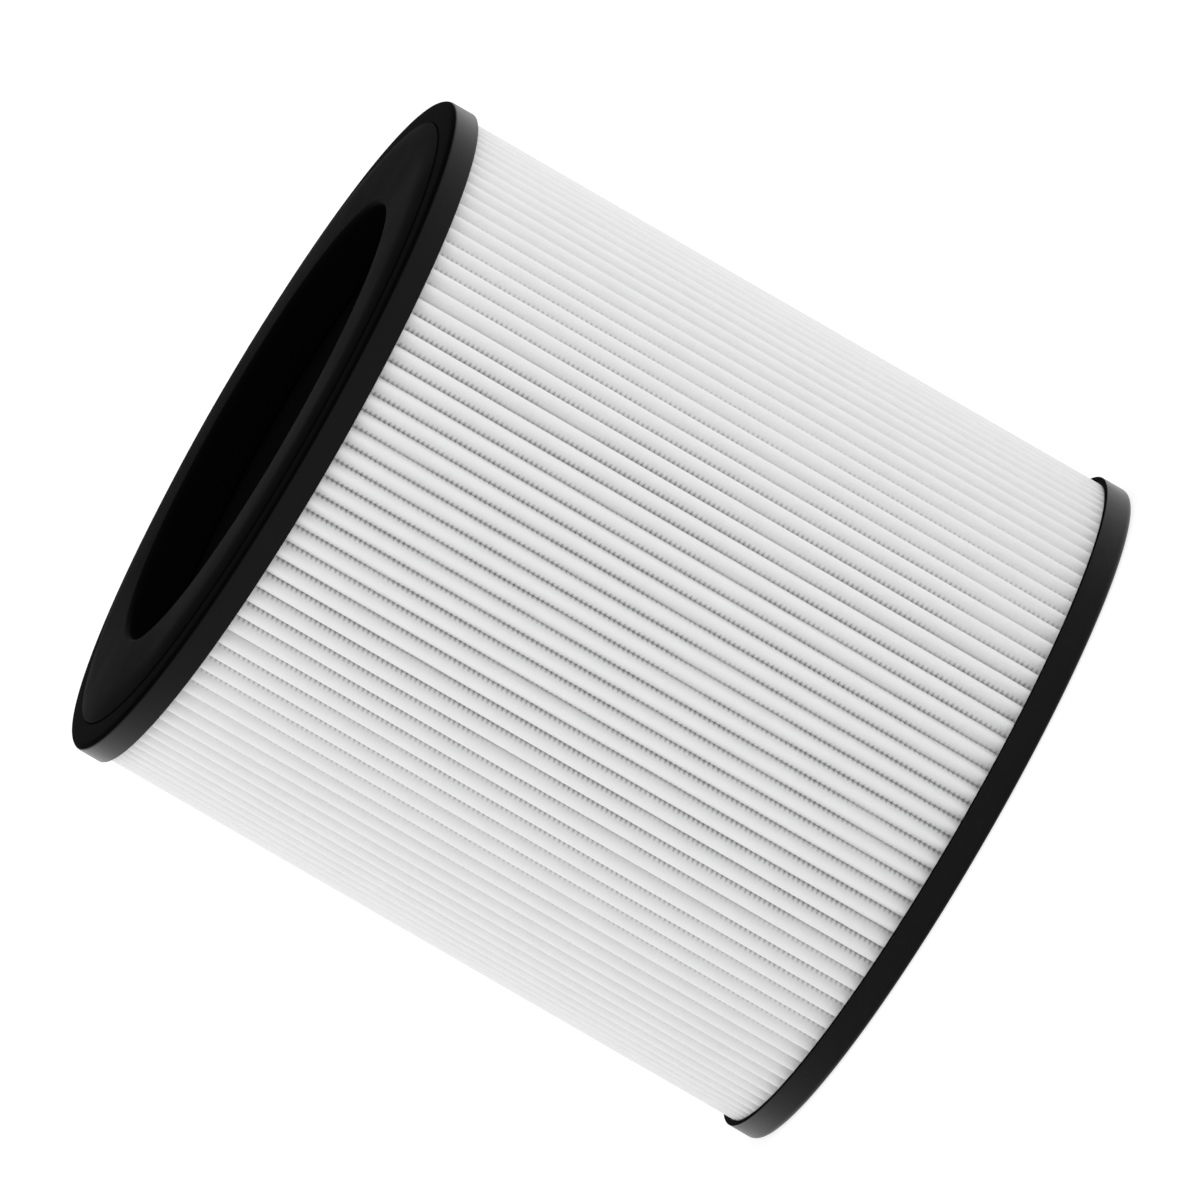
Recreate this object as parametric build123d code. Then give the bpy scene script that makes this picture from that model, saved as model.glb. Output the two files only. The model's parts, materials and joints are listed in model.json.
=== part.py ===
from build123d import *
import os
from math import acos, cos, degrees, pi, sin

# Air purifier filter: a ring of pleated filter sheet bonded between two moulded end caps.
# The axis is +Z, and the origin is the centre of the face that the filter stands on.

# Outside of the filter
cap_diameter = 170.0
filter_height = 180.5
cap_band_height = 7.0
cap_edge_radius = 1.5
cap_lip_chamfer = 0.3

# Walls of the caps
skirt_wall = 1.3
web_thickness = 2.0
collar_wall = 1.5
collar_depth = 8.0
locating_ring_height = 5.0
locating_ring_wall = 2.5

# Opening that the fan's inlet enters
bore_diameter = 114.0

# Raised seal on the upper cap
rim_land_width = 6.3
gasket_thickness = 2.0
gasket_seat_depth = 0.7
gasket_edge_radius = 1.2
gasket_shoulder_width = 7.4
gasket_shoulder_drop = 1.1

# Recess under the closed lower cap
recess_inset = 6.0
recess_depth = 1.5

# Adhesive beds in the caps' troughs
adhesive_depth = 1.5

# Folded filter sheet
sheet_thickness = 0.5
pleat_pitch = 4.52
crest_depth = 4.5
inner_fold_radius = 0.9

# Odour layer and the openwork tube inside it
carbon_thickness = 4.0
cage_wall = 1.5
cage_end_band = 12.0
cage_rib_pitch = 20.0
cage_rib_width = 3.0
cage_ring_pitch = 18.0
cage_ring_height = 3.0

# Clearances
crest_clearance = 0.2
crest_gap = 0.1
inner_fold_clearance = 0.2
carbon_clearance = 0.1
cage_clearance = 0.2
gasket_clearance = 0.1

# Radii, from the outside in
cap_radius = cap_diameter / 2
skirt_inner_radius = cap_radius - skirt_wall
crest_radius = skirt_inner_radius - crest_clearance
bore_radius = bore_diameter / 2
collar_outer_radius = bore_radius + collar_wall
cage_inner_radius = collar_outer_radius + cage_clearance
cage_outer_radius = cage_inner_radius + cage_wall
carbon_inner_radius = cage_outer_radius + carbon_clearance
carbon_outer_radius = carbon_inner_radius + carbon_thickness
valley_radius = carbon_outer_radius + inner_fold_clearance
gasket_seat_radius = cap_radius - rim_land_width
gasket_outer_radius = gasket_seat_radius - gasket_clearance
gasket_inner_radius = bore_radius
shoulder_radius = gasket_outer_radius - gasket_shoulder_width
recess_radius = bore_radius - recess_inset

# Heights, from the foot up
pack_bottom = web_thickness + adhesive_depth
upper_web_bottom = filter_height - web_thickness
pack_top = upper_web_bottom - adhesive_depth
pack_height = pack_top - pack_bottom
gasket_bottom = filter_height - gasket_seat_depth

# Pleats
pleat_count = round(2 * pi * crest_radius / pleat_pitch)
pleat_angle = 360.0 / pleat_count
crest_facets = 8
crest_foot_radius = crest_radius - crest_depth
crest_half_width = crest_foot_radius * sin(pi / pleat_count) - crest_gap / 2


def turned(points):
    """Solid turned about the axis from a profile of (radius, height) points."""
    profile = make_face(Plane.XZ * Polyline(*points, close=True))
    return revolve(profile, Axis.Z)


def ring(inner_radius, outer_radius, bottom, top):
    """Plain ring about the axis."""
    corners = [(inner_radius, bottom), (outer_radius, bottom), (outer_radius, top), (inner_radius, top)]
    return turned(corners)


def round_edge(solid, radius, height):
    """Circular edge of a turned solid at one radius and height."""
    circles = solid.edges().filter_by(GeomType.CIRCLE)
    level = circles.filter_by_position(Axis.Z, height - 0.01, height + 0.01)
    return level.sort_by(lambda edge: abs(edge.radius - radius))[0]


def make_upper_end_cap():
    """Ring cap: band, web with the gasket's seat, and the collar round the opening."""
    collar_bottom = upper_web_bottom - collar_depth
    band_bottom = filter_height - cap_band_height
    cap = turned([
        (bore_radius, collar_bottom),
        (collar_outer_radius, collar_bottom),
        (collar_outer_radius, upper_web_bottom),
        (skirt_inner_radius, upper_web_bottom),
        (skirt_inner_radius, band_bottom),
        (cap_radius, band_bottom),
        (cap_radius, filter_height),
        (gasket_seat_radius, filter_height),
        (gasket_seat_radius, gasket_bottom),
        (bore_radius, gasket_bottom),
    ])
    cap = fillet(round_edge(cap, cap_radius, filter_height), cap_edge_radius)
    return chamfer(round_edge(cap, cap_radius, band_bottom), cap_lip_chamfer)


def make_lower_end_cap():
    """Closed cap: band, foot ring, recessed centre panel and the ring that locates the cage."""
    ring_top = web_thickness + locating_ring_height
    ring_inner_radius = collar_outer_radius - locating_ring_wall
    recess_foot_radius = recess_radius + recess_depth
    cap = turned([
        (0, recess_depth),
        (recess_radius, recess_depth),
        (recess_foot_radius, 0),
        (cap_radius, 0),
        (cap_radius, cap_band_height),
        (skirt_inner_radius, cap_band_height),
        (skirt_inner_radius, web_thickness),
        (collar_outer_radius, web_thickness),
        (collar_outer_radius, ring_top),
        (ring_inner_radius, ring_top),
        (ring_inner_radius, web_thickness),
        (recess_foot_radius, web_thickness),
        (recess_radius, web_thickness + recess_depth),
        (0, web_thickness + recess_depth),
    ])
    cap = fillet(round_edge(cap, cap_radius, 0), cap_edge_radius)
    return chamfer(round_edge(cap, cap_radius, cap_band_height), cap_lip_chamfer)


def make_seal_gasket():
    """Soft ring in the upper cap's seat: flat on top, with a rounded inner edge and a long outer shoulder."""
    top = gasket_bottom + gasket_thickness
    shoulder_bottom = top - gasket_shoulder_drop
    sides = Polyline(
        (gasket_outer_radius, shoulder_bottom),
        (gasket_outer_radius, gasket_bottom),
        (gasket_inner_radius, gasket_bottom),
        (gasket_inner_radius, top),
        (shoulder_radius, top),
    )
    shoulder = TangentArc(sides @ 1, sides @ 0, tangent=(1, 0))
    gasket = revolve(make_face(Plane.XZ * (sides + shoulder)), Axis.Z)
    return fillet(round_edge(gasket, gasket_inner_radius, top), gasket_edge_radius)


def mirrored(point):
    """The same point on the other side of its pleat."""
    return Vector(point.X, -point.Y)


def crest_point(turn, inset):
    """Point of an oval crest, turned from its tip, on a face inset from the sheet's outer face."""
    point = Vector(crest_foot_radius + crest_depth * cos(turn), crest_half_width * sin(turn))
    normal = Vector(cos(turn) / crest_depth, sin(turn) / crest_half_width).normalized()
    return point - normal * inset


def sheet_line(inset):
    """Closed line of one face of the folded sheet, inset from its outer face."""
    turns = [pi * (n / crest_facets - 0.5) for n in range(crest_facets + 1)]
    crest = [crest_point(turn, inset) for turn in turns]
    fold_radius = inner_fold_radius - sheet_thickness
    fold_centre = Vector(valley_radius + inner_fold_radius, 0).rotate(Axis.Z, pleat_angle / 2)
    across = fold_centre - crest_point(pi / 2, 0)
    lean = degrees(acos(fold_radius / across.length))
    wall_normal = across.normalized().rotate(Axis.Z, -lean)
    wall_foot = fold_centre - wall_normal * (fold_radius + inset)
    valley = Vector(valley_radius + sheet_thickness - inset, 0).rotate(Axis.Z, pleat_angle / 2)
    pleat = [mirrored(valley), mirrored(wall_foot), *crest, wall_foot]
    points = [point.rotate(Axis.Z, n * pleat_angle) for n in range(pleat_count) for point in pleat]
    return Polyline(*points, close=True)


def make_pleated_media():
    """One sheet folded to and fro between the crests and the inner folds, closed into a ring."""
    section = make_face(sheet_line(0)) - make_face(sheet_line(sheet_thickness))
    return extrude(Pos(0, 0, pack_bottom) * section, amount=pack_height)


def make_inner_cage():
    """Openwork tube of upright ribs and hoops, with a plain band at each end."""
    middle_radius = (cage_inner_radius + cage_outer_radius) / 2
    columns = round(2 * pi * middle_radius / cage_rib_pitch)
    rows = round((pack_height - 2 * cage_end_band) / cage_ring_pitch)
    row_pitch = (pack_height - 2 * cage_end_band + cage_ring_height) / rows
    window_width = 2 * pi * middle_radius / columns - cage_rib_width
    window_height = row_pitch - cage_ring_height
    window = Box(4 * cage_wall, window_width, window_height, align=(Align.CENTER, Align.CENTER, Align.MIN))
    first_row = pack_bottom + cage_end_band
    windows = [
        Rot(0, 0, column * 360 / columns) * Pos(middle_radius, 0, first_row + row * row_pitch) * window
        for column in range(columns)
        for row in range(rows)
    ]
    return ring(cage_inner_radius, cage_outer_radius, pack_bottom, pack_top) - windows


pieces = {
    "upper_end_cap": make_upper_end_cap(),
    "lower_end_cap": make_lower_end_cap(),
    "seal_gasket": make_seal_gasket(),
    "pleated_media": make_pleated_media(),
    "carbon_sleeve": ring(carbon_inner_radius, carbon_outer_radius, pack_bottom, pack_top),
    "inner_cage": make_inner_cage(),
    "upper_adhesive": ring(collar_outer_radius, skirt_inner_radius, pack_top, upper_web_bottom),
    "lower_adhesive": ring(collar_outer_radius, skirt_inner_radius, web_thickness, pack_bottom),
}

os.makedirs("parts", exist_ok=True)
for name, piece in pieces.items():
    export_step(piece, f"parts/{name}.step")
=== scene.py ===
"""Looks of a round air purifier filter: a pleated sheet between two black end caps.

The file is laid out as an add-on. Property groups hold the sizes and colours, one operator makes each
piece or group of pieces, and main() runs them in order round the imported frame.
"""

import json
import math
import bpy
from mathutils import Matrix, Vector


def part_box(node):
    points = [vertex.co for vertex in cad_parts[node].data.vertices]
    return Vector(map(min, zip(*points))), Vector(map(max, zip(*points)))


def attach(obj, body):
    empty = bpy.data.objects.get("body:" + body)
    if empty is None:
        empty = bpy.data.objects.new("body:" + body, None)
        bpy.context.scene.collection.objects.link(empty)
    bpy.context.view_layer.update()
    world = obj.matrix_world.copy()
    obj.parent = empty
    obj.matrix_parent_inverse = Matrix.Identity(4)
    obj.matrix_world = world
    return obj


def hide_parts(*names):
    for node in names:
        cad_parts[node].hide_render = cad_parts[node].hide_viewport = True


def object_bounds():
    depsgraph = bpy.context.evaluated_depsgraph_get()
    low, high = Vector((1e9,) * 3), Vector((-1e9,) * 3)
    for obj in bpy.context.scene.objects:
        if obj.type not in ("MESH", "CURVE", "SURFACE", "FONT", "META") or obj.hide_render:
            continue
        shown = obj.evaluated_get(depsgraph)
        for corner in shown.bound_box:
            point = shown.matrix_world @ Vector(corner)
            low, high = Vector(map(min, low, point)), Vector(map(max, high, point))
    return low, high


bl_info = {
    "name": "Air purifier filter",
    "version": (1, 0, 0),
    "blender": (4, 5, 0),
    "location": "3D View > Sidebar > Filter",
    "description": "Makes the visible pieces of a pleated air filter and the studio round them",
    "category": "Object",
}

import bmesh
import bpy
from bpy.props import FloatProperty, FloatVectorProperty, IntProperty, PointerProperty
from mathutils import Matrix, Vector

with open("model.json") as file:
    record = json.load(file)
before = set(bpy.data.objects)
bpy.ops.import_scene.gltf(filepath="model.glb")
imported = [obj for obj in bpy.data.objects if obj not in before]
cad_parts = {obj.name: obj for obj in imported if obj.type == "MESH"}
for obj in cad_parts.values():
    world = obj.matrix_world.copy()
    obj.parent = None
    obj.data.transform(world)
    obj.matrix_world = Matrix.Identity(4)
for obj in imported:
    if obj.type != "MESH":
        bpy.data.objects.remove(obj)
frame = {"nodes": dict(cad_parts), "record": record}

CAD_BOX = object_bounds()
BODY = "root"
MM = 0.001

# Places that the frame gives
MOUNTS = {mount["name"]: mount for mount in frame["record"]["mounts"]}
BORE_RADIUS = MOUNTS["outlet_bore"]["dims"]["r_mm"] * MM
SHEET_LOW, SHEET_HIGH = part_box("pleated_media")
UPPER_LOW, UPPER_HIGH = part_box("upper_end_cap")
LOWER_LOW, LOWER_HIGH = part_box("lower_end_cap")
GASKET_LOW, GASKET_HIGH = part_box("seal_gasket")
SLEEVE_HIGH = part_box("carbon_sleeve")[1]

# Names that more than one function uses
GRAIN_GROUP = "Moulded grain"
FIBRE_GROUP = "Matted fibres"
SHEET_MAP = "UVMap"
DEPTH_ATTRIBUTE = "fold_depth"


def length(name, description, default):
    """A property that holds a length in metres."""
    return FloatProperty(
        name=name, description=description, default=default, unit="LENGTH", subtype="DISTANCE", precision=5
    )


def angle(name, description, degrees):
    """A property that holds an angle, given in degrees."""
    return FloatProperty(name=name, description=description, default=math.radians(degrees), subtype="ANGLE")


def factor(name, description, default):
    """A property that holds a share from 0 to 1."""
    return FloatProperty(name=name, description=description, default=default, subtype="FACTOR", min=0, max=1)


def colour(name, description, default):
    """A property that holds a linear colour."""
    return FloatVectorProperty(
        name=name, description=description, default=default, subtype="COLOR", size=3, min=0, max=1
    )


class FilterSheetSettings(bpy.types.PropertyGroup):
    """Sizes and colours of the folded filter sheet."""

    pleats: IntProperty(name="Pleats", description="Folds round the drum", default=116, min=12)
    rows: IntProperty(name="Rows", description="Steps up the height of the sheet", default=16, min=1)
    seed: IntProperty(name="Seed", description="Choice of how the folds stray", default=4)
    crest_radius: length("Crest radius", "Axis to the outer folds", SHEET_HIGH[0])
    crest_depth: length("Crest depth", "Depth of the oval of an outer fold", 6.0 * MM)
    crest_width: length("Crest width", "Width of that oval", 4.18 * MM)
    crest_gap: length("Crest gap", "Gap between outer folds where they meet", 0.02 * MM)
    groove_angle: angle("Groove angle", "Lean of a fold's flank where it meets its neighbour", 23)
    inner_fold: length("Inner fold", "Outer radius of an inner fold", 0.9 * MM)
    sleeve_gap: length("Sleeve gap", "Carbon sleeve to the inner folds", 0.2 * MM)
    thickness: length("Thickness", "Thickness of the sheet", 0.5 * MM)
    unevenness: length("Unevenness", "How far a fold strays from its place", 0.25 * MM)
    bond_pitch: length("Bond pitch", "Distance between bond points of the backing", 1.267 * MM)
    white: colour("White", "Colour of the clean sheet", (0.86, 0.86, 0.86))
    # Painted light: a whiter colour for the sheet down its folds, which lifts the shade there
    fold_light_white: colour("Fold white", "Colour of the sheet inside its folds", (0.88, 0.88, 0.88))


class FilterCapSettings(bpy.types.PropertyGroup):
    """Sizes and colours of the moulded caps and the seal."""

    skirt_wall: length("Skirt wall", "Wall of the band round the sheet", 1.3 * MM)
    web: length("Web", "Thickness of a cap's flat wall", 2.0 * MM)
    band: length("Band", "Height of a cap's band", 7.0 * MM)
    collar_wall: length("Collar wall", "Wall of the collar round the opening", 1.5 * MM)
    ring_wall: length("Ring wall", "Wall of the ring that locates the cage", 2.5 * MM)
    edge_radius: length("Edge radius", "Rounding of a cap's outer edge", 1.5 * MM)
    lip_radius: length("Lip radius", "Rounding of the band's lip and of a cap's small edges", 0.3 * MM)
    rim_fall: length("Rim fall", "Fall of the upper cap's face from the seal to its edge", 0.3 * MM)
    gasket_clearance: length("Seal clearance", "Gap between the seal and its seat", 0.1 * MM)
    gasket_edge: length("Seal edge", "Rounding of the seal's inner edge", 1.2 * MM)
    shoulder_width: length("Shoulder width", "Width of the seal's outer shoulder", 7.4 * MM)
    shoulder_drop: length("Shoulder drop", "Drop of the seal's outer shoulder", 1.1 * MM)
    recess_inset: length("Recess inset", "Opening's edge to the recess under the base", 6.0 * MM)
    recess_depth: length("Recess depth", "Depth of the recess under the base", 1.5 * MM)
    plastic: colour("Plastic", "Colour of the caps", (0.006, 0.006, 0.0062))
    rubber: colour("Rubber", "Colour of the seal", (0.002, 0.002, 0.002))


class FilterLayerSettings(bpy.types.PropertyGroup):
    """Colours of the layers inside the sheet."""

    cage: colour("Cage", "Colour of the openwork tube", (0.004, 0.004, 0.0042))
    carbon: colour("Carbon", "Colour of the odour layer", (0.004, 0.004, 0.004))
    adhesive: colour("Adhesive", "Colour of the beds in the caps", (0.7, 0.66, 0.54))


class FilterStageSettings(bpy.types.PropertyGroup):
    """The camera's angles and frame, the floor and the light."""

    elevation: angle("Elevation", "Camera above the horizon", 7.85)
    turn: angle("Turn", "Camera round the filter", 0.65)
    roll: angle("Roll", "Lean of the filter in the picture", 60)
    frame_width: length("Frame width", "Width of the square picture", 272.95 * MM)
    right: length("Right", "Filter's centre right of the picture's centre", 0.2 * MM)
    down: length("Down", "Filter's centre below the picture's centre", 4.45 * MM)
    camera_distance: length("Camera distance", "Camera to the filter's centre", 2.0)
    floor_width: length("Floor width", "Side of the square floor", 12.0)
    floor_drop: length("Floor drop", "Floor below the filter's foot", 0.2 * MM)
    floor_white: colour("Floor white", "Floor as a source of bounced light", (0.9, 0.9, 0.9))
    floor_grey: colour("Floor grey", "Floor as the camera sees it, without its glow", (0.3, 0.3, 0.3))
    floor_glow: factor("Floor glow", "Light that lifts the floor to white for the camera", 0.8)
    room_light: factor("Room light", "White surroundings as a light, against 1 as a background", 0.97)
    lamp_power: FloatProperty(
        name="Lamp power", description="Power of each lamp", default=1.3, subtype="POWER"
    )
    lamp_turn: angle("Lamp turn", "Each lamp's turn round the filter from the camera's side", 100)
    lamp_distance: length("Lamp distance", "Filter's axis to a lamp", 1.1)
    lamp_rise: length("Lamp rise", "Lamps above the filter's centre", 0.33)
    lamp_width: length("Lamp width", "Width of a lamp", 0.7)
    lamp_height: length("Lamp height", "Height of a lamp", 1.0)


# Nodes, and numbers that nodes work out


class Number:
    """A number that nodes work out: arithmetic on it adds Math nodes to its tree."""

    def __init__(self, tree, socket):
        self.tree = tree
        self.socket = socket

    def __add__(self, other):
        return calc(self.tree, "ADD", self, other)

    def __sub__(self, other):
        return calc(self.tree, "SUBTRACT", self, other)

    def __rsub__(self, other):
        return calc(self.tree, "SUBTRACT", other, self)

    def __mul__(self, other):
        return calc(self.tree, "MULTIPLY", self, other)

    def __truediv__(self, other):
        return calc(self.tree, "DIVIDE", self, other)

    def __rtruediv__(self, other):
        return calc(self.tree, "DIVIDE", other, self)

    def __pow__(self, other):
        return calc(self.tree, "POWER", self, other)


def feed(tree, node, values):
    """Sets or links a node's inputs by name or number."""
    for key, value in values.items():
        source = value.socket if isinstance(value, Number) else value
        if isinstance(source, bpy.types.NodeSocket):
            tree.links.new(source, node.inputs[key])
        else:
            node.inputs[key].default_value = source


def make(tree, kind, values=None, **settings):
    """A new node with its settings and inputs."""
    node = tree.nodes.new(kind)
    for name, value in settings.items():
        setattr(node, name, value)
    feed(tree, node, values or {})
    return node


def numbers(tree, node):
    """A node's outputs by name, ready for arithmetic."""
    return {socket.name: Number(tree, socket) for socket in node.outputs}


def calc(tree, operation, *values, clamp=False):
    """The result of one Math node."""
    node = make(tree, "ShaderNodeMath", dict(enumerate(values)), operation=operation, use_clamp=clamp)
    return Number(tree, node.outputs[0])


def ramp(tree, value, low, high, smooth=False, to=(0, 1)):
    """Value taken from the range low to high onto another range, and held at the ends."""
    node = make(tree, "ShaderNodeMapRange", {
        "Value": value, "From Min": low, "From Max": high, "To Min": to[0], "To Max": to[1],
    }, interpolation_type="SMOOTHSTEP" if smooth else "LINEAR")
    return Number(tree, node.outputs["Result"])


def polar(tree, radius, turn):
    """X and Y of a point at a radius and angle."""
    return radius * calc(tree, "COSINE", turn), radius * calc(tree, "SINE", turn)


def choose(tree, condition, chosen, other):
    """One number where a condition holds, and else the other."""
    values = {"Switch": condition, "True": chosen, "False": other}
    return Number(tree, make(tree, "GeometryNodeSwitch", values, input_type="FLOAT").outputs[0])


def split(tree, vector):
    """X, Y and Z of a vector."""
    return [Number(tree, socket) for socket in make(tree, "ShaderNodeSeparateXYZ", {0: vector}).outputs]


def noise(tree, vector, scale, detail, distortion=0.0):
    """Outputs of a noise texture."""
    values = {"Vector": vector, "Scale": scale, "Detail": detail, "Distortion": distortion}
    return make(tree, "ShaderNodeTexNoise", values).outputs


# Pieces: shared steps


def finish_piece(piece, node, smooth_angle):
    """Shades a piece, and lets it stand for its CAD node."""
    piece.data.shade_smooth()
    piece.data.set_sharp_from_angle(angle=math.radians(smooth_angle))
    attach(piece, BODY)
    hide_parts(node)


def new_piece(name, mesh, material):
    """A mesh object at the origin with one material."""
    piece = bpy.data.objects.new(name, mesh)
    bpy.context.scene.collection.objects.link(piece)
    mesh.materials.clear()
    mesh.materials.append(material)
    return piece


def rounded_outline(corners, steps=6):
    """Points of a closed outline of (radius, height, rounding) corners, with rounded corners as arcs."""
    points = []
    for index, (x, z, rounding) in enumerate(corners):
        corner = Vector((x, z))
        if rounding == 0:
            points.append(corner)
            continue
        before = (Vector(corners[index - 1][:2]) - corner).normalized()
        after = (Vector(corners[(index + 1) % len(corners)][:2]) - corner).normalized()
        half = before.angle(after) / 2
        centre = corner + (before + after).normalized() * (rounding / math.sin(half))
        start = corner + before * (rounding / math.tan(half)) - centre
        end = corner + after * (rounding / math.tan(half)) - centre
        sweep = start.angle_signed(end)
        points += [centre + Matrix.Rotation(-sweep * n / steps, 2) @ start for n in range(steps + 1)]
    return points


def turned_mesh(name, corners, segments=240, weld=0.001 * MM):
    """Mesh turned about the axis from an outline of (radius, height, rounding) corners."""
    shape = bmesh.new()
    line = [shape.verts.new((point.x, 0, point.y)) for point in rounded_outline(corners)]
    pairs = zip([line[-1], *line[:-1]], line)
    edges = [shape.edges.new((start, end)) for start, end in pairs if start.co.x + end.co.x]
    bmesh.ops.spin(
        shape, geom=line + edges, axis=(0, 0, 1), cent=(0, 0, 0),
        angle=2 * math.pi, steps=segments, use_merge=True,
    )
    bmesh.ops.remove_doubles(shape, verts=shape.verts, dist=weld)
    bmesh.ops.recalc_face_normals(shape, faces=shape.faces)
    mesh = bpy.data.meshes.new(name)
    shape.to_mesh(mesh)
    shape.free()
    return mesh


# Folded sheet: its node tree


def pleat_sizes(tree):
    """Adds the pleat tree's named inputs and its output, and gives the inputs as numbers."""
    inputs = {
        "NodeSocketGeometry": ("Geometry",),
        "NodeSocketInt": ("Pleats", "Rows", "Seed"),
        "NodeSocketFloat": (
            "Crest radius", "Crest depth", "Crest width", "Crest gap", "Groove angle",
            "Valley radius", "Inner fold", "Thickness", "Foot", "Height", "Unevenness",
        ),
        "NodeSocketMaterial": ("Material",),
    }
    for kind, names in inputs.items():
        for name in names:
            tree.interface.new_socket(name, in_out="INPUT", socket_type=kind)
    tree.interface.new_socket("Geometry", in_out="OUTPUT", socket_type="NodeSocketGeometry")
    return numbers(tree, make(tree, "NodeGroupInput"))


def pleat_tree():
    """Node tree that folds a flat grid into a ring of pleats, with the flat sheet as its UV map."""
    tree = bpy.data.node_groups.new("Pleated ring", "GeometryNodeTree")
    tree.is_modifier = True
    size = pleat_sizes(tree)

    # Steps of half a pleat: round the crest, down the wall, round the inner fold
    crest_steps, wall_steps, valley_steps = 8, 2, 2
    wall_end = crest_steps + wall_steps
    half_steps = wall_end + valley_steps
    columns = size["Pleats"] * (2 * half_steps)
    grid = make(tree, "GeometryNodeMeshGrid", {
        "Size X": columns,
        "Size Y": size["Height"],
        "Vertices X": columns + 1,
        "Vertices Y": size["Rows"] + 1,
    })
    grid_x, grid_y, _ = split(tree, make(tree, "GeometryNodeInputPosition").outputs[0])
    column = calc(tree, "ROUND", grid_x + columns / 2)
    rise = grid_y + size["Height"] / 2
    pleat = calc(tree, "FLOOR", (column + 0.5) / (2 * half_steps))
    across = column - pleat * (2 * half_steps) - half_steps
    step = calc(tree, "ABSOLUTE", across)
    side = calc(tree, "SIGN", across)

    # The oval crest, whose flank leaves it as a straight line and meets the next fold half a pitch away
    half_angle = math.pi / size["Pleats"]
    spread = calc(tree, "TANGENT", half_angle)
    slope = calc(tree, "TANGENT", size["Groove angle"])
    half_gap = size["Crest gap"] / 2
    half_width = size["Crest width"] / 2
    crest_foot = size["Crest radius"] - size["Crest depth"]
    foot_width = crest_foot * spread - half_gap
    flank_turn = calc(tree, "ARCTANGENT", half_width / (size["Crest depth"] * slope))
    flank_x = size["Crest depth"] * calc(tree, "COSINE", flank_turn)
    flank_y = half_width * calc(tree, "SINE", flank_turn)
    foot_line = flank_y + slope * flank_x
    meet_x = (foot_line - foot_width) / (slope + spread)
    meet_turn = calc(tree, "ARCCOSINE", meet_x / size["Crest depth"])

    # The inner fold, and the wall from the crest's foot that touches it
    valley_fold = size["Inner fold"] - size["Thickness"]
    valley_x, valley_y = polar(tree, size["Valley radius"] + size["Inner fold"], half_angle)
    gap_x = valley_x - crest_foot
    gap_y = valley_y - foot_width
    gap = calc(tree, "SQRT", gap_x ** 2 + gap_y ** 2)
    slant = calc(tree, "ARCTANGENT", gap_y / gap_x) + math.pi
    lean = slant - calc(tree, "ARCCOSINE", valley_fold / gap)
    wall = calc(tree, "SQRT", gap ** 2 - valley_fold ** 2)
    valley_sweep = lean - half_angle

    # A column's place on its half pleat
    to_meet = ramp(tree, step, 0, crest_steps - 1)
    past_meet = ramp(tree, step, crest_steps - 1, crest_steps)
    on_wall = ramp(tree, step, crest_steps, wall_end)
    on_valley = ramp(tree, step, wall_end, half_steps)
    crest_turn = to_meet * meet_turn + past_meet * (math.pi / 2 - meet_turn)
    crest_x = size["Crest depth"] * calc(tree, "COSINE", crest_turn)
    oval_y = half_width * calc(tree, "SINE", crest_turn)
    line_y = flank_y + slope * (flank_x - crest_x)
    past_flank = calc(tree, "GREATER_THAN", crest_turn, flank_turn)
    free_y = oval_y + past_flank * (line_y - oval_y)
    crest_y = calc(tree, "MINIMUM", free_y, (crest_foot + crest_x) * spread - half_gap)
    wall_x, wall_y = polar(tree, on_wall * wall, lean + math.pi / 2)
    fold_x, fold_y = polar(tree, valley_fold, lean - on_valley * valley_sweep + math.pi)
    in_valley = calc(tree, "GREATER_THAN", step, wall_end + 0.5)
    local_x = choose(tree, in_valley, valley_x + fold_x, crest_foot + (crest_x + wall_x))
    local_y = choose(tree, in_valley, valley_y + fold_y, crest_y + wall_y)

    # Folds stray a little at their tips, and not where they meet
    fold_step, waves_per_metre = 3.7, 18.0
    sideways_share, inward_share = 2.0, 0.6
    free = size["Unevenness"] * ramp(tree, crest_x, meet_x, size["Crest depth"])
    spot = make(tree, "ShaderNodeCombineXYZ", {
        "X": calc(tree, "FLOORED_MODULO", pleat, size["Pleats"]) * fold_step,
        "Y": rise * waves_per_metre,
        "Z": size["Seed"],
    })
    stray = noise(tree, spot.outputs[0], scale=1.0, detail=1.0)
    stray_x, stray_y, _ = split(tree, stray["Color"])
    sideways = (stray_x - 0.5) * (free * sideways_share)
    inwards = stray_y * (free * inward_share)
    place = make(tree, "ShaderNodeCombineXYZ", {
        "X": local_x - inwards,
        "Y": side * local_y + sideways,
        "Z": size["Foot"] + rise,
    })
    spun = make(tree, "ShaderNodeVectorRotate", {
        "Vector": place.outputs[0],
        "Angle": pleat * (half_angle * 2),
    }, rotation_type="Z_AXIS")

    # Distances along the flat sheet, for the pattern of the backing and for the depth down a fold, which
    # places the sheet's painted light and painted shade
    mean_square = size["Crest depth"] ** 2 + half_width ** 2
    crest_run = calc(tree, "SQRT", mean_square / 2) * (math.pi / 2)
    tip_run = half_width * crest_turn
    flank = crest_run - half_width * (math.pi / 2)
    flank_run = flank * (1 - calc(tree, "COSINE", crest_turn))
    valley_run = valley_fold * valley_sweep
    half_run = crest_run + (wall + valley_run)
    run = (tip_run + flank_run) + (on_wall * wall + on_valley * valley_run)
    along = (pleat + 0.5) * (half_run * 2) + side * run
    flat = make(tree, "ShaderNodeCombineXYZ", {"X": along, "Y": rise})

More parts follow.
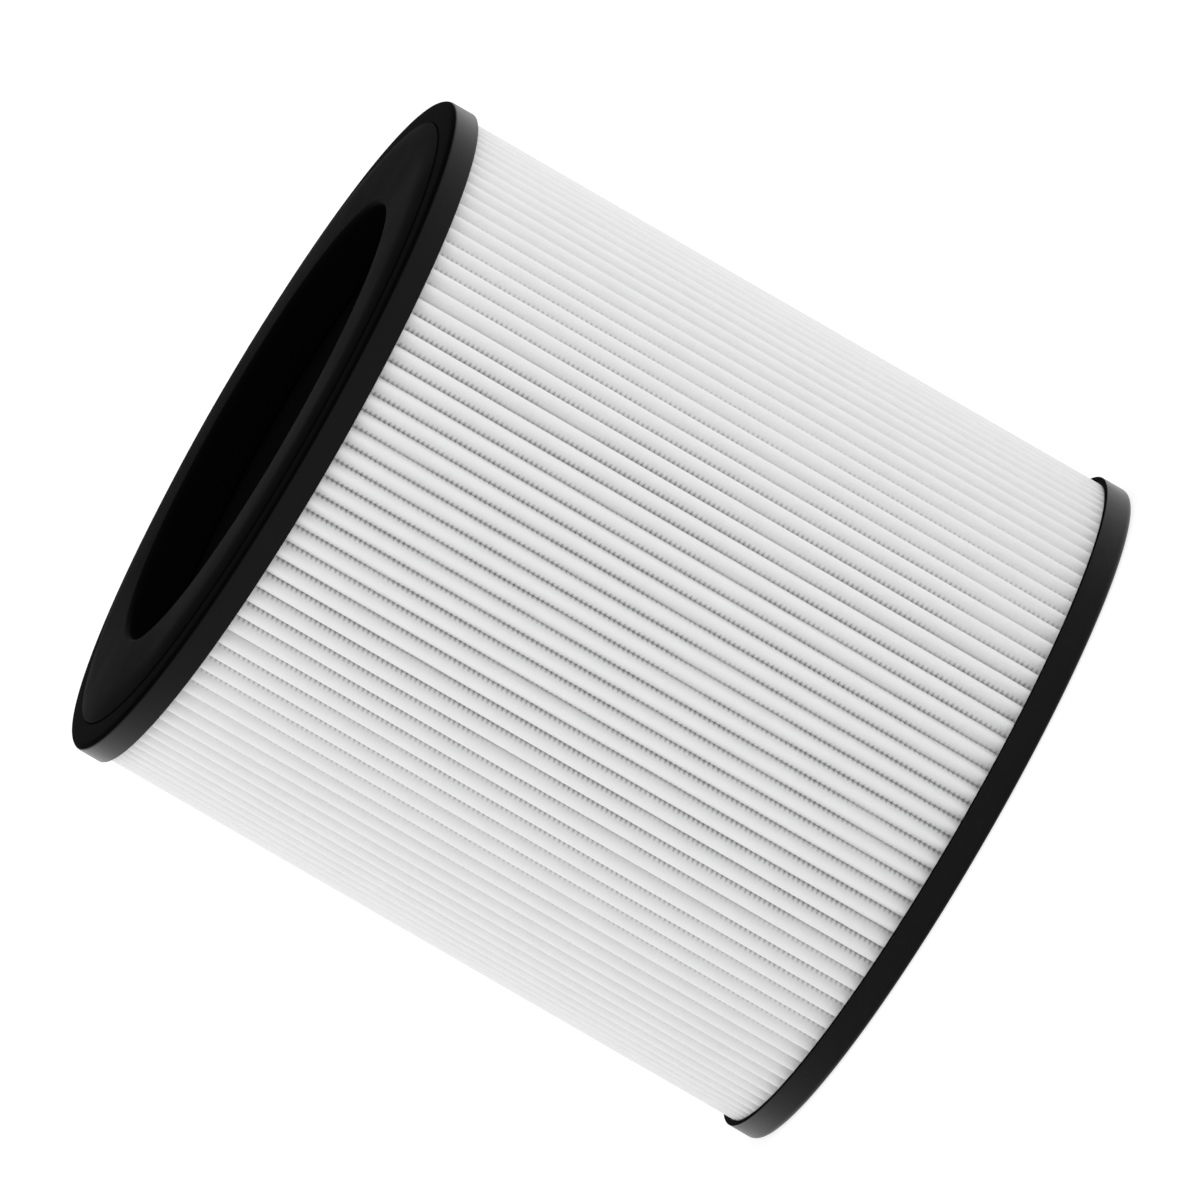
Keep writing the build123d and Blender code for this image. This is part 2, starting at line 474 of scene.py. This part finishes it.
    # The grid takes its flat map and its folded place, and closes into a ring
    weld = 0.01 * MM
    depth = make(tree, "GeometryNodeStoreNamedAttribute", {
        "Geometry": grid.outputs["Mesh"], "Name": DEPTH_ATTRIBUTE, "Value": run,
    }, data_type="FLOAT", domain="POINT")
    mapped = make(tree, "GeometryNodeStoreNamedAttribute", {
        "Geometry": depth.outputs[0], "Name": SHEET_MAP, "Value": flat.outputs[0],
    }, data_type="FLOAT2", domain="CORNER")
    folded = make(tree, "GeometryNodeSetPosition", {
        "Geometry": mapped.outputs[0], "Position": spun.outputs[0],
    })
    closed = make(tree, "GeometryNodeMergeByDistance", {"Geometry": folded.outputs[0], "Distance": weld})
    real = make(tree, "GeometryNodeRealizeInstances", {0: closed.outputs[0]})
    dressed = make(tree, "GeometryNodeSetMaterial", {
        "Geometry": real.outputs[0], "Material": size["Material"],
    })
    make(tree, "NodeGroupOutput", {0: dressed.outputs[0]})
    return tree


def set_inputs(modifier, values):
    """Sets a node modifier's inputs by the identifiers of their sockets."""
    items = modifier.node_group.interface.items_tree
    sockets = {item.name: item.identifier for item in items if item.in_out == "INPUT"}
    for name, value in values.items():
        modifier[sockets[name]] = value


def baked_mesh(piece):
    """Plain mesh of a piece with its modifiers applied."""
    depsgraph = bpy.context.evaluated_depsgraph_get()
    return bpy.data.meshes.new_from_object(piece.evaluated_get(depsgraph), depsgraph=depsgraph)


# Materials: shared steps


def new_material(name):
    """A material with a bare Principled shader, its tree and that shader."""
    material = bpy.data.materials.new(name)
    material.use_nodes = True
    tree = material.node_tree
    tree.nodes.clear()
    shader = make(tree, "ShaderNodeBsdfPrincipled")
    make(tree, "ShaderNodeOutputMaterial", {"Surface": shader.outputs[0]})
    return material, tree, shader


def new_group(name, inputs, outputs):
    """A shader node group with float inputs and outputs, its inputs' values and its output node."""
    group = bpy.data.node_groups.new(name, "ShaderNodeTree")
    group.interface.new_socket("Vector", in_out="INPUT", socket_type="NodeSocketVector")
    for label, default in inputs.items():
        socket = group.interface.new_socket(label, in_out="INPUT", socket_type="NodeSocketFloat")
        socket.default_value = default
    for label in outputs:
        group.interface.new_socket(label, in_out="OUTPUT", socket_type="NodeSocketFloat")
    return group, make(group, "NodeGroupInput").outputs, make(group, "NodeGroupOutput")


def grain_group():
    """Fine moulded grain with slow patches of gloss: a height and a patch value."""
    scales = {"Grain": 2500.0, "Patches": 30.0}
    group, given, result = new_group(GRAIN_GROUP, scales, ("Height", "Patch"))
    grain = noise(group, given["Vector"], given["Grain"], detail=2.0)
    patch = noise(group, given["Vector"], given["Patches"], detail=3.0)
    feed(group, result, {"Height": grain["Fac"], "Patch": patch["Fac"]})


def fibre_group():
    """Matted fibres of a non-woven layer: a height and a cloud of density."""
    scales = {"Fibres": 1800.0, "Clouds": 120.0}
    group, given, result = new_group(FIBRE_GROUP, scales, ("Height", "Cloud"))
    bent = noise(group, given["Vector"], given["Fibres"], detail=3.0, distortion=1.2)
    cloud = noise(group, given["Vector"], given["Clouds"], detail=4.0)
    feed(group, result, {"Height": bent["Fac"], "Cloud": cloud["Fac"]})


def place_effect(tree, group, values):
    """Outputs of a shared effect that is placed in a material with its own values."""
    return numbers(tree, make(tree, "ShaderNodeGroup", values, node_tree=bpy.data.node_groups[group]))


def object_place(tree):
    """Place on the piece in metres."""
    return make(tree, "ShaderNodeTexCoord").outputs["Object"]


def face_lift(tree):
    """How far a face looks up: 1 for a level top, 0 for an upright wall."""
    return split(tree, make(tree, "ShaderNodeNewGeometry").outputs["Normal"])[2]


def mix_number(tree, share, first, second):
    """Number between two numbers."""
    return make(tree, "ShaderNodeMix", {0: share, 2: first, 3: second}).outputs[0]


def mix_colour(tree, share, first, second):
    """Colour between two colours."""
    return make(tree, "ShaderNodeMix", {0: share, 6: first, 7: second}, data_type="RGBA").outputs[2]


def bump(tree, height, strength, distance):
    """Normal bent by a height."""
    values = {"Height": height, "Strength": strength, "Distance": distance}
    return make(tree, "ShaderNodeBump", values).outputs[0]


def shade(value, brightness=1.0):
    """A colour with alpha, made lighter or darker."""
    return (*[channel * brightness for channel in value], 1.0)


# Materials: the finishes


def moulded_material(name, tint, grain, roughness, specular):
    """Moulded surface with fine grain and slightly uneven gloss."""
    uneven_gloss, uneven_tint = 0.05, 0.15
    material, tree, shader = new_material(name)
    effect = place_effect(tree, GRAIN_GROUP, {"Vector": object_place(tree), "Grain": grain})
    dark, pale = shade(tint, 1 - uneven_tint), shade(tint, 1 + uneven_tint)
    gloss = (roughness - uneven_gloss, roughness + uneven_gloss)
    feed(tree, shader, {
        "Base Color": mix_colour(tree, effect["Patch"], dark, pale),
        "Roughness": ramp(tree, effect["Patch"], low=0.3, high=0.7, to=gloss),
        "Normal": bump(tree, effect["Height"], strength=0.25, distance=0.05 * MM),
        "Specular IOR Level": specular,
    })
    return material


def faded_gloss(tree, steep, flat):
    """Gloss of level faces, which fades from a steep to a flat view of them."""
    level = ramp(tree, calc(tree, "ABSOLUTE", face_lift(tree)), low=0.85, high=0.98)
    facing = make(tree, "ShaderNodeLayerWeight").outputs["Facing"]
    along = ramp(tree, facing, low=0.25, high=0.5)
    return mix_number(tree, level * (1 - along), flat, steep)


def rubber_material(tint):
    """Soft black rubber, dull when it is seen along its face."""
    material = moulded_material("soft_black_rubber", tint, grain=4000.0, roughness=0.5, specular=0.0)
    tree = material.node_tree
    shader = tree.nodes["Principled BSDF"]
    feed(tree, shader, {"Specular IOR Level": faded_gloss(tree, steep=0.08, flat=0.0012)})
    return material


def cap_material(tint):
    """Black plastic, satin on the outer band, and dull and darkened by painted shade on the faces that look
    up and in the bore.
    """
    satin_specular, dull_roughness, painted_shade_share = 0.06, 0.5, 0.7
    material = moulded_material("black_plastic", tint, grain=2500.0, roughness=0.28, specular=satin_specular)
    tree = material.node_tree
    shader = tree.nodes["Principled BSDF"]
    upward = ramp(tree, face_lift(tree), low=0.2, high=0.55, smooth=True)
    x, y, _ = split(tree, object_place(tree))
    radius = calc(tree, "SQRT", x ** 2 + y ** 2)
    outer = ramp(tree, radius, low=UPPER_HIGH[0] - 2 * MM, high=UPPER_HIGH[0] - 1 * MM)
    satin = outer * (1 - upward)
    tinted, gloss = [shader.inputs[name].links[0].from_socket for name in ("Base Color", "Roughness")]
    # Painted shade: off the satin band, on the faces that look up and in the bore, the colour is darkened
    # towards black
    dim = mix_colour(tree, painted_shade_share, tinted, (0, 0, 0, 1))
    dull_specular = faded_gloss(tree, steep=0.15, flat=0.0005)
    feed(tree, shader, {
        "Base Color": mix_colour(tree, satin, dim, tinted),
        "Roughness": mix_number(tree, satin, dull_roughness, gloss),
        "Specular IOR Level": mix_number(tree, satin, dull_specular, satin_specular),
    })
    return material


def sheet_material(settings):
    """White non-woven sheet with the bond points of its backing, whose rows show in the folds, darkened
    there by painted shade; the folds also get painted light.
    """
    # Strength and brightness of the painted shade on the rows of bond points down the folds
    dot_shade_strength, dot_shade_brightness = 0.6, 0.35
    uneven_white, fibre_height = 0.03, 0.4
    material, tree, shader = new_material("white_filter_sheet")
    flat = make(tree, "ShaderNodeUVMap", uv_map=SHEET_MAP).outputs[0]
    fibres = place_effect(tree, FIBRE_GROUP, {"Vector": flat})
    along, up, _ = split(tree, flat)
    waves_per_metre = 2 * math.pi / settings.bond_pitch
    row_wave = calc(tree, "COSINE", up * waves_per_metre)
    column_wave = calc(tree, "COSINE", along * waves_per_metre)
    rows = ramp(tree, row_wave, low=-0.2, high=0.9, smooth=True)
    columns = ramp(tree, column_wave, low=-0.6, high=0.6, smooth=True)
    points = rows * columns

    # The sheet is lifted a little whiter down its folds by painted light, and painted shade darkens the rows
    # of bond points there in patches
    depth = make(tree, "ShaderNodeAttribute", attribute_name=DEPTH_ATTRIBUTE).outputs["Fac"]
    crest = settings.crest_depth
    # Painted light: from this depth down a fold the colour is lifted towards the fold white
    fold_light_depth = ramp(tree, depth, low=crest * 0.4, high=crest * 0.55, smooth=True)
    # Painted shade: from this depth down a fold the rows of bond points are darkened
    shade_dot_depth = ramp(tree, depth, low=crest * 0.42, high=crest * 0.65, smooth=True)
    patch = noise(tree, flat, scale=35.0, detail=1.0)["Fac"]
    strength = ramp(tree, patch, low=0.3, high=0.55, smooth=True) * dot_shade_strength
    bond_rows_and_shade = rows * (shade_dot_depth * strength)
    dark, pale = shade(settings.white, 1 - uneven_white), shade(settings.white, 1 + uneven_white)
    outside = mix_colour(tree, fibres["Cloud"], dark, pale)
    unshaded = mix_colour(tree, fold_light_depth, outside, shade(settings.fold_light_white))
    height = fibres["Height"] * fibre_height - points
    feed(tree, shader, {
        # Painted shade: the bond-point rows take a dark copy of the white
        "Base Color": mix_colour(tree, bond_rows_and_shade, unshaded, shade(settings.white, dot_shade_brightness)),
        "Normal": bump(tree, height, strength=0.35, distance=0.06 * MM),
        "Roughness": 0.95,
        "Specular IOR Level": 0.1,
    })
    return material


def felt_material(tint):
    """Black carbon-loaded felt with a grainy surface, darker in its hollows by painted shade and lighter on
    its fibre tips by painted light.
    """
    material, tree, shader = new_material("carbon_felt")
    fibres = place_effect(tree, FIBRE_GROUP, {"Vector": object_place(tree), "Fibres": 900.0})
    # Painted shade in the hollows of the fibre height and painted light on its tips
    shaded_hollows, lit_fibre_tips = shade(tint, brightness=0.5), shade(tint, brightness=1.6)
    feed(tree, shader, {
        "Base Color": mix_colour(tree, fibres["Height"], shaded_hollows, lit_fibre_tips),
        "Normal": bump(tree, fibres["Height"], strength=0.8, distance=0.4 * MM),
        "Roughness": 0.95,
        "Specular IOR Level": 0.1,
    })
    return material


def dress_node(node, material):
    """Puts a material on a CAD node that stays as it is."""
    piece = frame["nodes"][node]
    piece.data.materials.clear()
    piece.data.materials.append(material)


# Stage


def seen_directly(tree):
    """One for rays from the camera or through a mirror or glass, else zero."""
    path = numbers(tree, make(tree, "ShaderNodeLightPath"))
    seen = path["Is Camera Ray"] + path["Is Glossy Ray"]
    return calc(tree, "ADD", seen, path["Is Transmission Ray"], clamp=True)


def make_floor(settings):
    """Wide pale floor that is white to the camera, keeps the filter's shadow and is clear from below."""
    half, level = settings.floor_width / 2, -settings.floor_drop
    corners = [(-half, -half, level), (half, -half, level), (half, half, level), (-half, half, level)]
    mesh = bpy.data.meshes.new("floor")
    mesh.from_pydata(corners, [], [(0, 1, 2, 3)])
    material = bpy.data.materials.new("pale_floor")
    material.use_nodes = True
    tree = material.node_tree
    tree.nodes.clear()
    seen = seen_directly(tree)
    tint = mix_colour(tree, seen, shade(settings.floor_white), shade(settings.floor_grey))
    matt = make(tree, "ShaderNodeBsdfDiffuse", {"Color": tint})
    glow = make(tree, "ShaderNodeEmission", {"Strength": seen * settings.floor_glow})
    both = make(tree, "ShaderNodeAddShader", {0: matt.outputs[0], 1: glow.outputs[0]})
    under = make(tree, "ShaderNodeNewGeometry").outputs["Backfacing"]
    clear = make(tree, "ShaderNodeBsdfTransparent").outputs[0]
    shown = make(tree, "ShaderNodeMixShader", {0: under, 1: both.outputs[0], 2: clear})
    make(tree, "ShaderNodeOutputMaterial", {"Surface": shown.outputs[0]})
    new_piece("floor", mesh, material)


def make_world(settings):
    """White surroundings, a little dimmer as a light than as a background."""
    world = bpy.data.worlds.new("white_room")
    world.use_nodes = True
    tree = world.node_tree
    tree.nodes.clear()
    strength = seen_directly(tree) * (1 - settings.room_light) + settings.room_light
    sky = make(tree, "ShaderNodeBackground", {"Color": (1, 1, 1, 1), "Strength": strength})
    make(tree, "ShaderNodeOutputWorld", {"Surface": sky.outputs[0]})
    bpy.context.scene.world = world


def make_lamps(settings):
    """Two tall soft boxes, one on each side of the filter."""
    middle = Vector((0, 0, (CAD_BOX[0][2] + CAD_BOX[1][2]) / 2))
    for name, side in (("left_box", -1), ("right_box", 1)):
        lamp = bpy.data.lights.new(name, "AREA")
        lamp.shape = "RECTANGLE"
        lamp.size = settings.lamp_width
        lamp.size_y = settings.lamp_height
        lamp.energy = settings.lamp_power
        turn = side * settings.lamp_turn
        outwards = Vector((math.sin(turn), -math.cos(turn), 0)) * settings.lamp_distance
        spot = middle + outwards + Vector((0, 0, settings.lamp_rise))
        box = bpy.data.objects.new(name, lamp)
        box.location = spot
        box.rotation_euler = (middle - spot).to_track_quat("-Z", "Y").to_euler()
        box.visible_glossy = False
        bpy.context.scene.collection.objects.link(box)


def make_camera(settings):
    """Parallel camera at the picture's angle, leaning so that the filter lies aslant."""
    up = Vector((0, math.sin(settings.elevation), math.cos(settings.elevation)))
    right = Vector((1, 0, 0))
    back = right.cross(up)
    across = right * math.cos(settings.roll) - up * math.sin(settings.roll)
    above = right * math.sin(settings.roll) + up * math.cos(settings.roll)
    middle = Vector((0, 0, (LOWER_LOW[2] + UPPER_HIGH[2]) / 2))
    turn = Matrix.Rotation(settings.turn, 3, "Z")
    aim = middle + turn @ (above * settings.down - across * settings.right)
    data = bpy.data.cameras.new("camera")
    data.type = "ORTHO"
    data.ortho_scale = settings.frame_width
    data.clip_end = 10 * settings.camera_distance
    camera = bpy.data.objects.new("camera", data)
    axes = Matrix((turn @ across, turn @ above, turn @ back)).transposed()
    place = aim + turn @ back * settings.camera_distance
    camera.matrix_world = Matrix.Translation(place) @ axes.to_4x4()
    bpy.context.scene.collection.objects.link(camera)
    bpy.context.scene.camera = camera


# Operators


class FILTER_OT_pleated_sheet(bpy.types.Operator):
    """Fold the white filter sheet into its ring of pleats"""

    bl_idname = "filter.pleated_sheet"
    bl_label = "Pleated sheet"

    def execute(self, context):
        settings = context.scene.filter_sheet
        material = sheet_material(settings)
        height = SHEET_HIGH[2] - SHEET_LOW[2]
        piece = new_piece("filter_sheet", bpy.data.meshes.new("filter_sheet"), material)
        folding = piece.modifiers.new("Folding", "NODES")
        folding.node_group = pleat_tree()
        set_inputs(folding, {
            "Pleats": settings.pleats,
            "Rows": settings.rows,
            "Seed": settings.seed,
            "Crest radius": settings.crest_radius,
            "Valley radius": SLEEVE_HIGH[0] + settings.sleeve_gap,
            "Crest depth": settings.crest_depth,
            "Crest width": settings.crest_width,
            "Crest gap": settings.crest_gap,
            "Groove angle": settings.groove_angle,
            "Inner fold": settings.inner_fold,
            "Thickness": settings.thickness,
            "Foot": SHEET_LOW[2],
            "Height": height,
            "Unevenness": settings.unevenness,
            "Material": material,
        })
        wall = piece.modifiers.new("Wall", "SOLIDIFY")
        wall.thickness = settings.thickness
        wall.offset = -1
        mesh = baked_mesh(piece)
        piece.modifiers.clear()
        piece.data = mesh
        finish_piece(piece, "pleated_media", smooth_angle=50)
        return {"FINISHED"}


class FILTER_OT_end_caps(bpy.types.Operator):
    """Make the two moulded end caps"""

    bl_idname = "filter.end_caps"
    bl_label = "End caps"

    def execute(self, context):
        settings = context.scene.filter_caps
        material = cap_material(settings.plastic)
        rim = UPPER_HIGH[0]
        skirt = rim - settings.skirt_wall
        collar = BORE_RADIUS + settings.collar_wall
        lip = settings.lip_radius
        edge = settings.edge_radius
        top, collar_foot = UPPER_HIGH[2], UPPER_LOW[2]
        web_foot, band_foot = top - settings.web, top - settings.band
        seat_radius = GASKET_HIGH[0] + settings.gasket_clearance
        seat = GASKET_LOW[2]
        upper = turned_mesh("upper_cap", [
            (BORE_RADIUS, collar_foot, lip),
            (collar, collar_foot, lip),
            (collar, web_foot, lip),
            (skirt, web_foot, lip),
            (skirt, band_foot, lip),
            (rim, band_foot, lip),
            (rim, top - settings.rim_fall, edge),
            (seat_radius, top, lip),
            (seat_radius, seat, 0),
            (BORE_RADIUS, seat, 0),
        ])
        foot, band_top = LOWER_LOW[2], LOWER_HIGH[2]
        recess = BORE_RADIUS - settings.recess_inset
        recess_foot = recess + settings.recess_depth
        floor = foot + settings.web
        lower = turned_mesh("lower_cap", [
            (0, foot + settings.recess_depth, 0),
            (recess, foot + settings.recess_depth, lip),
            (recess_foot, foot, lip),
            (rim, foot, edge),
            (rim, band_top, lip),
            (skirt, band_top, lip),
            (skirt, floor, lip),
            (collar, floor, lip),
            (collar, band_top, lip),
            (collar - settings.ring_wall, band_top, lip),
            (collar - settings.ring_wall, floor, lip),
            (recess_foot, floor, lip),
            (recess, floor + settings.recess_depth, lip),
            (0, floor + settings.recess_depth, 0),
        ])
        upper_cap = new_piece("upper_cap", upper, material)
        lower_cap = new_piece("lower_cap", lower, material)
        finish_piece(upper_cap, "upper_end_cap", smooth_angle=35)
        finish_piece(lower_cap, "lower_end_cap", smooth_angle=35)
        return {"FINISHED"}


class FILTER_OT_seal(bpy.types.Operator):
    """Make the soft raised seal on the upper cap"""

    bl_idname = "filter.seal"
    bl_label = "Seal"

    def execute(self, context):
        settings = context.scene.filter_caps
        material = rubber_material(settings.rubber)
        outer, top, foot = GASKET_HIGH[0], GASKET_HIGH[2], GASKET_LOW[2]
        width, drop = settings.shoulder_width, settings.shoulder_drop
        bend = (width ** 2 + drop ** 2) / (2 * drop)
        steps = 10
        turns = [math.asin(width / bend) * n / steps for n in range(steps, -1, -1)]
        shoulder = [
            (outer - width + bend * math.sin(turn), top - bend * (1 - math.cos(turn)), 0) for turn in turns
        ]
        mesh = turned_mesh("seal", [
            (BORE_RADIUS, foot, 0),
            (outer, foot, 0),
            *shoulder,
            (BORE_RADIUS, top, settings.gasket_edge),
        ])
        finish_piece(new_piece("seal", mesh, material), "seal_gasket", smooth_angle=35)
        return {"FINISHED"}


class FILTER_OT_inner_layers(bpy.types.Operator):
    """Finish the cage, the carbon sleeve and the adhesive inside the filter"""

    bl_idname = "filter.inner_layers"
    bl_label = "Inner layers"

    def execute(self, context):
        settings = context.scene.filter_layers
        cage = moulded_material("cage_plastic", settings.cage, grain=1800.0, roughness=0.6, specular=0.03)
        dress_node("inner_cage", cage)
        dress_node("carbon_sleeve", felt_material(settings.carbon))
        glue = moulded_material("set_adhesive", settings.adhesive, grain=600.0, roughness=0.4, specular=0.4)
        for node in ("upper_adhesive", "lower_adhesive"):
            dress_node(node, glue)
        return {"FINISHED"}


class FILTER_OT_stage(bpy.types.Operator):
    """Set the white floor, the soft light and the camera"""

    bl_idname = "filter.stage"
    bl_label = "Stage"

    def execute(self, context):
        settings = context.scene.filter_stage
        make_floor(settings)
        make_world(settings)
        make_lamps(settings)
        make_camera(settings)
        context.scene.view_settings.view_transform = "Standard"
        return {"FINISHED"}


# Panel and registration


class FILTER_PT_tools(bpy.types.Panel):
    """Lists the filter's operators and settings"""

    bl_label = "Air purifier filter"
    bl_space_type = "VIEW_3D"
    bl_region_type = "UI"
    bl_category = "Filter"

    def draw(self, context):
        for operator in OPERATORS:
            self.layout.operator(operator.bl_idname)
        for pointer, group in SETTINGS.items():
            box = self.layout.box()
            for name in group.__annotations__:
                box.prop(getattr(context.scene, pointer), name)


OPERATORS = (
    FILTER_OT_pleated_sheet,
    FILTER_OT_end_caps,
    FILTER_OT_seal,
    FILTER_OT_inner_layers,
    FILTER_OT_stage,
)
SETTINGS = {
    "filter_sheet": FilterSheetSettings,
    "filter_caps": FilterCapSettings,
    "filter_layers": FilterLayerSettings,
    "filter_stage": FilterStageSettings,
}
CLASSES = (*SETTINGS.values(), *OPERATORS, FILTER_PT_tools)


def register():
    """Adds the classes, and the settings to the scene."""
    for item in CLASSES:
        bpy.utils.register_class(item)
    for pointer, group in SETTINGS.items():
        setattr(bpy.types.Scene, pointer, PointerProperty(type=group))


def unregister():
    """Takes the settings off the scene, and removes the classes."""
    for pointer in SETTINGS:
        delattr(bpy.types.Scene, pointer)
    for item in reversed(CLASSES):
        bpy.utils.unregister_class(item)


def main():
    """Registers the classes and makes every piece."""
    register()
    grain_group()
    fibre_group()
    bpy.ops.filter.pleated_sheet()
    bpy.ops.filter.end_caps()
    bpy.ops.filter.seal()
    bpy.ops.filter.inner_layers()
    bpy.ops.filter.stage()


if __name__ == "__main__":
    main()
